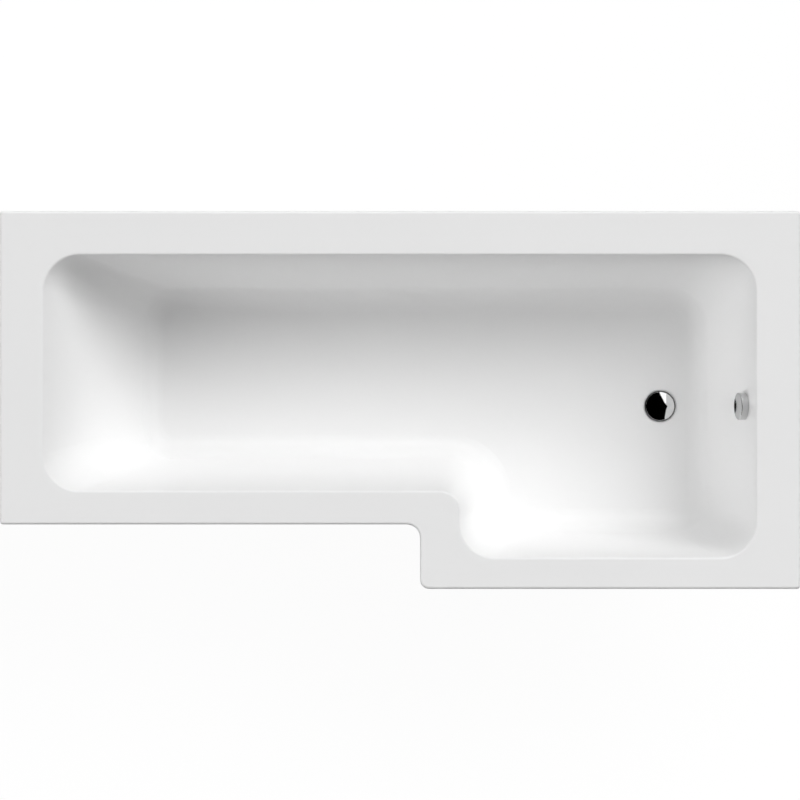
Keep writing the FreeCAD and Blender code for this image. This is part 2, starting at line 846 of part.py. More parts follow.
def screw(name, x, y, z):
    """A pan-head screw that points up, with the underside of its head at z."""
    body = turned_body(name, [
        (ZERO, -dim.screw_head), (dim.screw_head_radius, -dim.screw_head), (dim.screw_head_radius, ZERO),
        (dim.screw_radius, ZERO), (dim.screw_radius, dim.screw_length), (ZERO, dim.screw_length)])
    return place(body, x, y, z)


def cradle():
    lock_nuts = []
    adjusting_nuts = []
    screws = []
    for rail in rails:
        cradle_rail(rail)
        for side, along in leg_places(rail):
            y = rail.middle + along
            leg(rail, side, y)
            lock_nuts.append(hex_nut(f"{rail.name}_{side}_lock_nut", rail.x, y, rail.top))
            under = rail.top - dim.rail_sheet - dim.nut_thickness
            adjusting_nuts.append(hex_nut(f"{rail.name}_{side}_adjusting_nut", rail.x, y, under))
        for index, along in enumerate(rail_screw_places(rail), start=1):
            seat = rail.top - dim.rail_sheet
            screws.append(screw(f"{rail.name}_rail_screw_{index}", rail.x, rail.middle + along, seat))
    group("lock_nuts", lock_nuts)
    group("adjusting_nuts", adjusting_nuts)
    group("rail_screws", screws)


def wall_bracket(name, x):
    """A folded strip: screwed under the back batten, it passes under the skirt and lies on the wall."""
    body = new_body(name + "_wall_bracket")
    sheet_metal = dim.bracket_sheet
    low = dim.acrylic + dim.batten_thickness
    middle = batten_back_y - half_width
    inner = middle - dim.bracket_flange / 2
    outer = middle + dim.bracket_flange / 2
    ledge = dim.skirt_height + dim.bracket_gap
    end = ledge + dim.bracket_drop
    under_ledge = ledge + sheet_metal
    under_flange = low + sheet_metal
    sketch = new_sketch(body, name + "_bracket_section", "YZ_Plane")
    draw_polygon(sketch, [
        (inner, -low), (outer, -low), (outer, -ledge), (ZERO, -ledge), (ZERO, -end),
        (-sheet_metal, -end), (-sheet_metal, -under_ledge), (outer - sheet_metal, -under_ledge),
        (outer - sheet_metal, -under_flange), (inner, -under_flange)])
    pad(body, sketch, dim.bracket_width, middle=True)
    screw_holes = new_sketch(body, name + "_bracket_screw_holes", z=-low)
    wall_holes = new_sketch(body, name + "_bracket_wall_holes", "XZ_Plane")
    for side in (-1, 1):
        across = side * dim.bracket_hole_pitch / 2
        draw_circle(screw_holes, dim.screw_radius + dim.screw_clearance, across, middle)
        draw_circle(wall_holes, dim.bracket_hole_radius, across, -(ledge + end) / 2)
    pocket(body, screw_holes, THROUGH * sheet_metal)
    pocket(body, wall_holes, THROUGH * sheet_metal, middle=True)
    place(body, x, half_width, dim.rim_height)
    node(body, name + "_wall_bracket")


def wall_brackets():
    screws = []
    for name, x in bracket_places():
        wall_bracket(name, x)
        for index, side in enumerate((-1, 1), start=1):
            across = x + side * dim.bracket_hole_pitch / 2
            under = rim_underside - dim.batten_thickness - dim.bracket_sheet
            screws.append(screw(f"{name}_bracket_screw_{index}", across, batten_back_y, under))
    group("bracket_screws", screws)


# Waste and plug


def at_waste(body, level, label):
    place(body, waste_x, waste_y, level)
    node(body, label)


def waste_flange():
    """The turned flange with its threaded tail, and a bar cross that carries the press cartridge."""
    bore = dim.tail_radius - dim.tail_wall
    countersink = dim.flange_countersink
    body = turned_body("waste_flange", [
        (bore, -dim.tail_length), (dim.tail_radius, -dim.tail_length), (dim.tail_radius, ZERO),
        (dim.flange_radius, ZERO), (dim.flange_radius, dim.flange_thickness),
        (bore + countersink, dim.flange_thickness), (bore, dim.flange_thickness - countersink)])
    rounding = smaller(dim.flange_rounding, FILLET_SHARE * dim.flange_thickness)
    round_edges(body, "flange_round", rounding,
                lambda edge: is_circle_at(edge, dim.flange_radius, dim.flange_thickness))
    reach = dim.tail_radius - dim.tail_wall / 2
    half = dim.spoke_width / 2
    hub = cartridge_radius + dim.fit_clearance
    for name, across, along in (("first_bar", reach, half), ("second_bar", half, reach)):
        bar = new_sketch(body, name, z=-dim.spoke_drop)
        draw_box(bar, -across, across, -along, along)
        pad(body, bar, dim.spoke_height, reverse=True)
    boss = new_sketch(body, "cartridge_boss", z=-dim.spoke_drop)
    draw_circle(boss, hub + dim.hub_wall)
    pad(body, boss, dim.spoke_height, reverse=True)
    hole = new_sketch(body, "cartridge_hole", z=-dim.spoke_drop)
    draw_circle(hole, hub)
    pocket(body, hole, dim.spoke_height)
    at_waste(body, flange_level, "waste_flange")


def waste_gaskets():
    bore = dim.tail_radius + dim.fit_clearance
    upper = turned_body("waste_upper_gasket", ring_section(
        bore, dim.flange_radius - dim.gasket_inset, ZERO, dim.gasket_thickness))
    at_waste(upper, seat_level, "waste_upper_gasket")
    lower = turned_body("waste_lower_gasket", ring_section(
        bore, dim.waste_collar_radius - dim.gasket_inset, ZERO, dim.lower_gasket_thickness))
    at_waste(lower, collar_level, "waste_lower_gasket")


def waste_body():
    """The moulded body under the floor: socket for the flange, outlet tail and overflow port."""
    socket = dim.tail_radius + dim.fit_clearance
    outside = socket + dim.waste_body_wall
    low = -dim.waste_body_height
    end = low - dim.outlet_length
    body = turned_body("waste_body", [
        (ZERO, ZERO), (dim.waste_collar_radius, ZERO), (dim.waste_collar_radius, -dim.waste_collar),
        (outside, -dim.waste_collar), (outside, low), (dim.outlet_radius, low),
        (dim.outlet_radius, end), (ZERO, end)])
    port = new_sketch(body, "port_outside", "YZ_Plane", y=-dim.port_drop)
    draw_circle(port, spout_radius)
    pad(body, port, dim.port_reach)
    top = new_sketch(body, "flange_socket")
    draw_circle(top, socket)
    pocket(body, top, dim.waste_body_height - dim.waste_body_wall)
    outlet = new_sketch(body, "outlet_bore")
    draw_circle(outlet, dim.outlet_bore)
    pocket(body, outlet, dim.waste_body_height + dim.outlet_length)
    bore = new_sketch(body, "port_bore", "YZ_Plane", y=-dim.port_drop)
    draw_circle(bore, dim.hose_bore)
    pocket(body, bore, dim.port_reach, reverse=True)
    mouth = new_sketch(body, "port_socket", "YZ_Plane", y=-dim.port_drop, z=dim.port_reach)
    draw_circle(mouth, socket_radius)
    pocket(body, mouth, dim.hose_socket)
    at_waste(body, collar_level, "waste_body")


def plug():
    """The domed cap with its seal, and the stem whose piston slides in the cartridge."""
    stem_hole = dim.stem_radius + dim.fit_clearance
    inner_seal = dim.seal_radius - dim.seal_width
    crown = dim.plug_edge + dim.plug_crown
    cap = turned_body("plug_cap", [
        (stem_hole, -dim.plug_hub), (dim.plug_hub_radius, -dim.plug_hub), (dim.plug_hub_radius, ZERO),
        (inner_seal, ZERO), (inner_seal, dim.seal_groove), (dim.seal_radius, dim.seal_groove),
        (dim.seal_radius, ZERO), (dim.plug_radius, ZERO), (dim.plug_radius, dim.plug_edge),
        (ZERO, crown), (ZERO, dim.stem_socket), (stem_hole, dim.stem_socket)], domed=8)
    rounding = smaller(dim.plug_rounding, FILLET_SHARE * dim.plug_edge)
    round_edges(cap, "plug_round", rounding, lambda edge: is_circle_at(edge, dim.plug_radius, dim.plug_edge))
    at_waste(cap, plug_level, "plug_cap")
    seal = turned_body("plug_seal", ring_section(
        inner_seal + dim.fit_clearance, dim.seal_radius - dim.fit_clearance,
        dim.seal_gap - dim.plug_gap, dim.seal_groove))
    at_waste(seal, plug_level, "plug_seal")
    piston_top = dim.piston_length
    stem_top = plug_level + dim.stem_socket - piston_level
    stem = turned_body("plug_stem", [
        (ZERO, ZERO), (dim.piston_radius, ZERO), (dim.piston_radius, piston_top),
        (dim.stem_radius, piston_top), (dim.stem_radius, stem_top), (ZERO, stem_top)])
    at_waste(stem, piston_level, "plug_stem")


def press_cartridge():
    """The tube that holds the stem's piston and spring, hung by its collar on the flange's bar cross."""
    collar_low = flange_level - dim.spoke_drop - cartridge_level
    collar_high = collar_low + dim.cartridge_collar
    outer = cartridge_radius
    collar = outer + dim.hub_wall
    guide = dim.stem_radius + dim.running_clearance
    roof = cartridge_length - dim.cartridge_end
    body = turned_body("press_cartridge", [
        (ZERO, ZERO), (outer, ZERO), (outer, collar_low), (collar, collar_low), (collar, collar_high),
        (outer, collar_high), (outer, cartridge_length), (guide, cartridge_length), (guide, roof),
        (dim.cartridge_bore, roof), (dim.cartridge_bore, dim.cartridge_end), (ZERO, dim.cartridge_end)])
    at_waste(body, cartridge_level, "press_cartridge")


def helix_point(angle, radius, climb):
    return FreeCAD.Vector(radius * math.cos(angle), radius * math.sin(angle), climb * angle)


def helix_way(angle, radius, climb):
    return FreeCAD.Vector(-radius * math.sin(angle), radius * math.cos(angle), climb).normalize()


def arc_from(start, corner, end):
    """The arc that leaves start towards a corner and meets end, equally far from that corner."""
    weight = start.distanceToPoint(end) / (2 * start.distanceToPoint(corner))
    middle = (start + end + corner * 2 * weight) * (1 / (2 + 2 * weight))
    return Part.Arc(start, middle, end).toShape()


def two_arcs(start, way_out, end, way_in):
    """Two arcs that join two points and are tangent to both ways."""
    chord = end - start
    both = way_out + way_in
    square = 2 * (way_out.dot(way_in) - 1)
    linear = -2 * chord.dot(both)
    reach = (-linear - math.sqrt(linear ** 2 - 4 * square * chord.dot(chord))) / (2 * square)
    first = start + way_out * reach
    second = end - way_in * reach
    joint = (first + second) * 0.5
    return [arc_from(start, first, joint), arc_from(joint, second, end)]


def least_gap(points, skip):
    """The least distance between points of one line that are at least so many places apart."""
    return min(points[one].distanceToPoint(points[other])
               for one in range(len(points)) for other in range(one + skip, len(points)))


def plug_spring():
    """The spring under the piston: one unbroken wire, wound as arcs of a quarter turn."""
    wire_radius = dim.spring_wire_radius.value
    radius = dim.spring_radius.value
    base = wire_radius + dim.spring_gap.value
    climb = (dim.spring_length.value - 2 * base) / (2 * math.pi * SPRING_TURNS)
    step = 2 * math.pi / ARCS_PER_TURN
    edges = []
    for index in range(SPRING_TURNS * ARCS_PER_TURN):
        begin = index * step
        end = begin + step
        edges += two_arcs(helix_point(begin, radius, climb), helix_way(begin, radius, climb),
                          helix_point(end, radius, climb), helix_way(end, radius, climb))
    path = Part.Wire(edges)
    points = path.discretize(Number=SPRING_TURNS * POINTS_PER_TURN)
    gap = least_gap(points, POINTS_PER_TURN // 2) - 2 * wire_radius
    print("least gap between the spring's turns", round(gap, 3))
    ring = Part.Circle(helix_point(0, radius, climb), helix_way(0, radius, climb), wire_radius)
    spring = doc.addObject("Part::Feature", "plug_spring")
    spring.Shape = path.makePipeShell([Part.Wire(ring.toShape())], True, False)
    spring.Placement = FreeCAD.Placement(
        FreeCAD.Vector(waste_x.value, waste_y.value, spring_level.value + base), FreeCAD.Rotation())
    node(spring, "plug_spring")


# Overflow


def at_overflow(body, label):
    """Stands a body on the foot wall: its own Z points square into the well, its own X up the wall."""
    place(body, overflow_x, waste_y, overflow_z, turn_about_y=foot_angle - RIGHT_ANGLE)
    node(body, label)


def overflow_cap():
    """The drum that hides the overflow: a slot at its foot lets water in, and its spigot has windows."""
    radius = dim.cap_radius
    low = dim.cap_lift
    high = low + dim.cap_depth
    roof = high - dim.cap_wall
    spigot = dim.core_radius - dim.core_wall - dim.fit_clearance
    spigot_bore = spigot - dim.cap_spigot_wall
    core_top = dim.overflow_gasket_front + dim.core_flange
    spigot_end = core_top - dim.cap_spigot_length
    body = turned_body("overflow_cap", [
        (radius - dim.cap_wall, low), (radius, low), (radius, high), (ZERO, high), (ZERO, roof),
        (spigot_bore, roof), (spigot_bore, spigot_end), (spigot, spigot_end), (spigot, roof),
        (radius - dim.cap_wall, roof)])
    round_edges(body, "cap_round", dim.cap_rounding, lambda edge: is_circle_at(edge, radius, high))
    slot = new_sketch(body, "cap_slot", z=low)
    half = dim.cap_slot_width / 2
    draw_box(slot, -radius - dim.cap_wall, -dim.core_flange_radius, -half, half)
    pocket(body, slot, dim.cap_slot_height, reverse=True)
    half = dim.cap_window / 2
    reach = spigot + dim.cap_spigot_wall
    for name, across, along in (("first_window", reach, half), ("second_window", half, reach)):
        window = new_sketch(body, name, z=core_top)
        draw_box(window, -across, across, -along, along)
        pocket(body, window, roof - core_top, reverse=True)
    at_overflow(body, "overflow_cap")


def overflow_core():
    """The flanged sleeve that clamps the wall between itself and the elbow."""
    bore = dim.core_radius - dim.core_wall
    low = dim.overflow_gasket_front
    high = low + dim.core_flange
    end = elbow_depth - dim.core_engagement
    body = turned_body("overflow_core", [
        (bore, end), (dim.core_radius, end), (dim.core_radius, low), (dim.core_flange_radius, low),
        (dim.core_flange_radius, high), (bore, high)])
    at_overflow(body, "overflow_core")


def overflow_gaskets():
    bore = dim.core_radius + dim.fit_clearance
    front = turned_body("overflow_front_gasket", ring_section(
        bore, dim.core_flange_radius, ZERO, dim.overflow_gasket_front))
    at_overflow(front, "overflow_front_gasket")
    low = elbow_depth
    rear = turned_body("overflow_rear_gasket", ring_section(
        bore, dim.overflow_gasket_radius, low, low + dim.overflow_gasket))
    at_overflow(rear, "overflow_rear_gasket")


def overflow_elbow():
    """The chamber behind the wall, with a spout that points straight down."""
    chamber = dim.core_radius + dim.fit_clearance
    neck = chamber + dim.elbow_wall
    collar_end = elbow_depth - dim.elbow_collar
    body = turned_body("overflow_elbow", [
        (ZERO, elbow_depth), (ZERO, elbow_end), (neck, elbow_end), (neck, collar_end),
        (dim.elbow_collar_radius, collar_end), (dim.elbow_collar_radius, elbow_depth)])
    down = -(RIGHT_ANGLE + foot_angle)
    spout = new_sketch(body, "spout_outside", z=spout_depth, tilt=down)
    draw_circle(spout, spout_radius)
    pad(body, spout, dim.spout_length)
    hollow = new_sketch(body, "chamber", z=elbow_depth)
    draw_circle(hollow, chamber)
    pocket(body, hollow, dim.elbow_length - dim.elbow_wall)
    bore = new_sketch(body, "spout_bore", z=spout_depth, tilt=down)
    draw_circle(bore, dim.hose_bore)
    pocket(body, bore, dim.spout_length, reverse=True)
    reach = dim.spout_length
    mouth = new_sketch(body, "spout_socket", x=-reach * cosine(foot_angle),
                       z=spout_depth - reach * sine(foot_angle), tilt=down)
    draw_circle(mouth, socket_radius)
    pocket(body, mouth, dim.hose_socket)
    at_overflow(body, "overflow_elbow")


def coupling(name, x, z, turn):
    """The nut and seal that hold the hose in a mouth. Their own Z points out of the mouth, from its end."""
    gap = dim.fit_clearance
    hole = dim.hose_valley_radius + dim.hose_clearance
    thread = spout_radius + gap
    outside = thread + dim.coupling_wall
    top = dim.hose_seal + dim.coupling_lip
    seal = turned_body(name + "_hose_seal", ring_section(hole, spout_radius, ZERO, dim.hose_seal))
    nut = turned_body(name + "_coupling_nut", [
        (thread, -dim.coupling_grip), (outside, -dim.coupling_grip), (outside, top), (hole, top),
        (hole, dim.hose_seal), (thread, dim.hose_seal)])
    grip = new_sketch(nut, name + "_grip", z=top)
    draw_circle(grip, dim.grip_radius, outside + dim.grip_radius / 2)
    hollow = pocket(nut, grip, top + dim.coupling_grip)
    repeat_round(nut, hollow, GRIP_COUNT)
    for piece, label in ((seal, name + "_hose_seal"), (nut, name + "_coupling_nut")):
        place(piece, x, waste_y, z, turn_about_y=turn)
        node(piece, label)


class HosePath:
    """The hose's middle line: down from the spout, round one wide bend and into the waste's port."""

    def __init__(self):
        self.start_z = spout_end.value + dim.hose_socket.value
        self.end_x = port_end.value - dim.hose_socket.value
        straight_end = self.end_x + dim.hose_cuff.value
        self.bend = spout_x.value - straight_end
        self.bend_z = port_level.value + self.bend
        self.fall = self.start_z - self.bend_z
        self.turn = self.bend * math.pi / 2
        self.length = self.fall + self.turn + dim.hose_cuff.value

    def point(self, along):
        """The point and the way at a distance along the line."""
        x, y, z = spout_x.value, waste_y.value, self.start_z
        if along <= self.fall:
            return FreeCAD.Vector(x, y, z - along), FreeCAD.Vector(0, 0, -1)
        angle = min((along - self.fall) / self.bend, math.pi / 2)
        past = max(0, along - self.fall - self.turn)
        back = self.bend * (1 - math.cos(angle)) + past
        sunk = self.bend * math.sin(angle)
        way = FreeCAD.Vector(-math.sin(angle), 0, -math.cos(angle))
        return FreeCAD.Vector(x - back, y, self.bend_z - sunk), way

    def circle(self, along, radius):
        """A circle round the line, with its seam always on the same side."""
        centre, way = self.point(along)
        shape = Part.Circle(FreeCAD.Vector(), Z_AXIS, radius)
        turn = FreeCAD.Rotation(Y_AXIS, way.cross(Y_AXIS) * -1, way, "ZXY")
        shape.transform(FreeCAD.Placement(centre, turn).toMatrix())
        return Part.Wire(shape.toShape())

    def wire(self):
        corners = [self.point(along)[0] for along in (
            0, self.fall, self.fall + self.turn / 2, self.fall + self.turn, self.length)]
        return Part.Wire([
            Part.LineSegment(corners[0], corners[1]).toShape(),
            Part.Arc(corners[1], corners[2], corners[3]).toShape(),
            Part.LineSegment(corners[3], corners[4]).toShape()])


def overflow_hose():
    """The ribbed hose: plain cuffs, ribs between them and a smooth bore."""
    path = HosePath()
    valley = dim.hose_valley_radius.value
    ridge = dim.hose_rib_radius.value
    cuff = dim.hose_cuff.value
    ribbed = path.length - 2 * cuff
    count = int(ribbed / dim.hose_rib_pitch.value)
    pitch = ribbed / count
    rings = [(0, valley)]
    for index in range(count):
        begin = cuff + index * pitch
        rings += [
            (begin + RIB_FOOT * pitch, valley), (begin + RIB_SHOULDER * pitch, ridge),
            (begin + (1 - RIB_SHOULDER) * pitch, ridge), (begin + (1 - RIB_FOOT) * pitch, valley)]
    rings.append((path.length, valley))
    outside = Part.makeLoft([path.circle(along, radius) for along, radius in rings], True, True)
    bore = path.wire().makePipeShell([path.circle(0, dim.hose_bore.value)], True, False)
    print("hose ribs", count, "bend radius", round(path.bend, 1), "length", round(path.length, 1))
    print("bore volume over section times length",
          round(bore.Volume / (math.pi * dim.hose_bore.value ** 2 * path.length), 6))
    hose = doc.addObject("Part::Feature", "overflow_hose")
    hose.Shape = outside.cut(bore)
    node(hose, "overflow_hose")


def write_parts():
    """Checks every object, then writes each sub-part to a file of its own."""
    doc.recompute()
    for thing in doc.Objects:
        if "Invalid" in thing.State or "Error" in thing.State:
            raise RuntimeError(f"{thing.Name} failed: {thing.State}")
    for thing in nodes:
        if thing.Shape.isNull() or not thing.Shape.isValid():
            raise RuntimeError(f"{thing.Label} has no valid shape")
    os.makedirs("parts", exist_ok=True)
    for thing in nodes:
        thing.Shape.exportStep(f"parts/{thing.Label}.step")
        print(thing.Label, len(thing.Shape.Solids), round(thing.Shape.Volume))


acrylic_shell()
glassfibre_backing()
base_board()
rim_battens()
cradle()
wall_brackets()
waste_flange()
waste_gaskets()
waste_body()
plug()
press_cartridge()
plug_spring()
overflow_cap()
overflow_core()
overflow_gaskets()
overflow_elbow()
coupling("upper", spout_x, spout_end, HALF_TURN)
coupling("lower", port_end, port_level, RIGHT_ANGLE)
overflow_hose()
write_parts()
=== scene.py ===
import json
import math

import bmesh
import bpy
from mathutils import Matrix, Vector

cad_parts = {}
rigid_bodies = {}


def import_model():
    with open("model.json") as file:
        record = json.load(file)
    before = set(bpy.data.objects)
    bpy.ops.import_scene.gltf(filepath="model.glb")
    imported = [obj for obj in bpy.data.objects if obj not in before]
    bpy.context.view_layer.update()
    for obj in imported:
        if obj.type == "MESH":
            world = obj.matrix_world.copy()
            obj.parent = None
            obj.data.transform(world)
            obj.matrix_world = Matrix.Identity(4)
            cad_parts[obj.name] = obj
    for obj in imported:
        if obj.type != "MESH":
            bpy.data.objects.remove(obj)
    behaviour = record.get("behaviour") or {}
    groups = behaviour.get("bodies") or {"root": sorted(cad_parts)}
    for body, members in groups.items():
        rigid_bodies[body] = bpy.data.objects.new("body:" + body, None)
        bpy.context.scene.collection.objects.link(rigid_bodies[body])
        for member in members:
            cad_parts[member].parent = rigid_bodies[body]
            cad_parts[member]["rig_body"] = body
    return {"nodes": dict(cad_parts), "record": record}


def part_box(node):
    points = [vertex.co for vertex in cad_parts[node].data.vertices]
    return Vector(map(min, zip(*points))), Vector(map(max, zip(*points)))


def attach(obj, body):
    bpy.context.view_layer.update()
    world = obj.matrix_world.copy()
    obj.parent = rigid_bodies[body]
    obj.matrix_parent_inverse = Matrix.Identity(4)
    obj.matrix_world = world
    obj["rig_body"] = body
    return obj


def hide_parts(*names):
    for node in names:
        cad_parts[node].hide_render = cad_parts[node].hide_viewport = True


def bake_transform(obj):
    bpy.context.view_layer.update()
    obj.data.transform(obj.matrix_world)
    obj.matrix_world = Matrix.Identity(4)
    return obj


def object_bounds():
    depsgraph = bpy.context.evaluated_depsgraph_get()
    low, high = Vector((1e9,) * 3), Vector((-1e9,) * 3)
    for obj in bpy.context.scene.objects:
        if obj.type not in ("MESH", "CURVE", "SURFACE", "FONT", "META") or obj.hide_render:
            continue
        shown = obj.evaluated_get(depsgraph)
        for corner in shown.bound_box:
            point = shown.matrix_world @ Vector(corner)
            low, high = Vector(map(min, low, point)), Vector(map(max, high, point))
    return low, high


# L-shaped shower bath: finishes, detailed small pieces, light and a camera straight above. Metres.

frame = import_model()
cad_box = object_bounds()
bath_low, bath_high = cad_box
scene = bpy.context.scene

# The photograph's frame is as wide as the rim. The camera is far away, with a long lens.
CAMERA_RISE = 80.0
SENSOR = 36.0

# Lamps: where each stands, as degrees round from +X and degrees up, and its strength
LAMPS = {
    "window_lamp": (60, 45, 1.31),
    "low_window_lamp": (45, 35, 0.34),
    "side_window_lamp": (30, 45, 0.775),
    "back_lamp": (150, 45, 0.355),
    "head_lamp": (180, 35, 0.51),
    "front_lamp": (210, 25, 0.68),
}
# How broad each lamp looks from the bath, in degrees
LAMP_WIDTH = 40

FLOOR_REACH = 60.0
# The floor lies just under the feet of legs that are screwed right down, so that it hides none of them
LEG_TRAVEL = 0.03
FLOOR_GAP = 0.0005
# To the eye the floor is plain white, with a part that is lit and so takes the bath's shadow
FLOOR_PLAIN = 0.955
FLOOR_LIT = 0.06
# How much light the floor throws back up at the bath
FLOOR_BOUNCE = 0.4

# Level cards high over the waste, which only show mirrored: glowing sheets that paint dark, white and grey
# reflections into the chrome over the waste. The rise of each over the plug, its lightness, and its outline
# from the plug's middle
CARD_REACH = 50.0
CARDS = {
    "dark_card": (10.0, 0.0, (
        (-CARD_REACH, -CARD_REACH), (-5.9, -CARD_REACH), (1.41, -0.67), (1.7, 0.0), (1.11, 0.67),
        (-23.7, CARD_REACH), (-CARD_REACH, CARD_REACH))),
    "white_card": (10.1, 1.7, (
        (1.11, 0.67), (1.44, 0.67), (1.44, CARD_REACH), (-23.7, CARD_REACH))),
    "grey_card": (10.2, 0.89, (
        (1.44, -CARD_REACH), (CARD_REACH, -CARD_REACH), (CARD_REACH, CARD_REACH), (1.44, CARD_REACH))),
# The white card glows brighter than white, a painted reflection with no lamp behind it
}

# Colours of the finishes: how far along its row each colour comes, and its red, green and blue
COLOURS = {
    "acrylic": ((0.3, (0.97, 0.97, 0.97)), (0.7, (0.982, 0.982, 0.982))),
    "glassfibre": ((0.4, (0.60, 0.57, 0.45)), (0.6, (0.76, 0.74, 0.64)), (0.8, (0.88, 0.87, 0.80))),
    "board": ((0.2, (0.30, 0.20, 0.11)), (0.5, (0.55, 0.40, 0.24)), (0.8, (0.72, 0.57, 0.37))),
    "timber": ((0.3, (0.50, 0.33, 0.17)), (0.5, (0.70, 0.52, 0.31)), (0.7, (0.80, 0.65, 0.43))),
    "galvanised": ((0.25, (0.50, 0.52, 0.54)), (0.75, (0.72, 0.74, 0.75))),
    "zinc": ((0.3, (0.66, 0.67, 0.66)), (0.55, (0.74, 0.75, 0.75)), (0.75, (0.73, 0.71, 0.64))),
    "chrome": ((0.3, (0.565, 0.57, 0.575)), (0.7, (0.605, 0.605, 0.605))),
    "brass": ((0.3, (0.66, 0.50, 0.25)), (0.7, (0.80, 0.64, 0.36))),
    "black_rubber": ((0.3, (0.018, 0.018, 0.018)), (0.7, (0.035, 0.035, 0.034))),
    "white_plastic": ((0.3, (0.78, 0.78, 0.76)), (0.7, (0.84, 0.84, 0.82))),
    "black_core": ((0.3, (0.025, 0.025, 0.026)), (0.7, (0.04, 0.04, 0.04))),
    "hose_plastic": ((0.3, (0.74, 0.74, 0.72)), (0.7, (0.82, 0.82, 0.80))),
    "black_nylon": ((0.3, (0.016, 0.016, 0.017)), (0.7, (0.03, 0.03, 0.03))),
}

# Chopped strands in the glassfibre: their width, how many times longer they are, and the ways that they lie,
# in radians
STRAND_WIDTH = 0.0022
STRAND_STRETCH = 14.0
STRAND_TURNS = [(0.0, 0.7 * step, 1.3 * step) for step in range(9)]

# Timber: how much longer its grain runs than it is wide, and the same for its saw marks
GRAIN_STRETCH = 33.0
SAW_STRETCH = 10.0

# Moulded pieces: how deep their grain is, as a share of its size, and how much duller it leaves them
MOULD_DEPTH = 0.12
MOULD_DULLING = 0.15

# Threads: their section over one pitch, as crest or root and the share of the pitch, and the turns that they
# start with below the lower end
THREAD_SECTION = ((False, 0.0), (False, 0.25), (True, 0.5625), (True, 0.6875), (False, 1.0))
SPARE_TURNS = 2

# Rods
ROD_PITCH = 0.00175
ROD_ROOT = 0.00107
ROD_CHAMFER = 0.001
ROD_STEPS = 18

# Nuts
NUT_BORE_GAP = 0.00005
NUT_CUTS = 24
NUT_SLOPE = math.radians(30)
HEX_SIDES = 6
NUT_SIDE_CUTS = 3

# Screws: the head's height and the shank's radius as shares of the head's radius, and the head's section as
# shares of its radius and height
HEAD_HEIGHT = 2 / 3
SHANK_RADIUS = 4 / 9
HEAD_SECTION = ((0.0, 1.0), (0.62, 1.0), (0.86, 0.82), (0.97, 0.5), (1.0, 0.2), (1.0, 0.0), (0.0, 0.0))
RECESS_WIDTH = 0.0006
RECESS_REACH = 0.0019
RECESS_DEPTH = 0.0013
SCREW_STEPS = 28
SCREW_PITCH = 0.0014
# The depth of a screw's thread, the length of its point and the radius of its tip, as shares of the shank's
# radius
SCREW_ROOT = 0.3
SCREW_POINT = 3.0
SCREW_TIP = 0.1

# Hose: its plain ends, ribs and bore
HOSE_CUFF = 0.032
HOSE_PITCH = 0.005
HOSE_VALLEY_DEPTH = 0.0017
HOSE_WALL = 0.0018
HOSE_STEPS = 40
RIB_POINTS = 8
RIB_FULLNESS = 0.7
BORE_POINTS = 2

# Spring under the plug
SPRING_TURNS = 3
SPRING_STEPS = 36
SPRING_WIRE = 0.0006
WIRE_SIDES = 10

ORIGIN = Vector((0, 0, 0))
UP = Vector((0, 0, 1))
WELD = 0.000002
SMOOTH_ANGLE = math.radians(32)


class Value:
    """A shader value. Arithmetic on it adds Math nodes to its finish."""

    def __init__(self, finish, socket):
        self.finish = finish
        self.socket = socket

    def __add__(self, other):
        return self.finish.math("ADD", self, other)

    def __radd__(self, other):
        return self.finish.math("ADD", other, self)

    def __mul__(self, other):
        return self.finish.math("MULTIPLY", self, other)

    def __rmul__(self, other):
        return self.finish.math("MULTIPLY", other, self)

    def larger(self, other):
        return self.finish.math("MAXIMUM", self, other)

    def mixed(self, other, share):
        """This value with a share of another mixed in."""
        return self * (1 - share) + other * share

    def between(self, low, high):
        """This value, from 0 to 1, spread from a low to a high amount."""
        return low + (high - low) * self


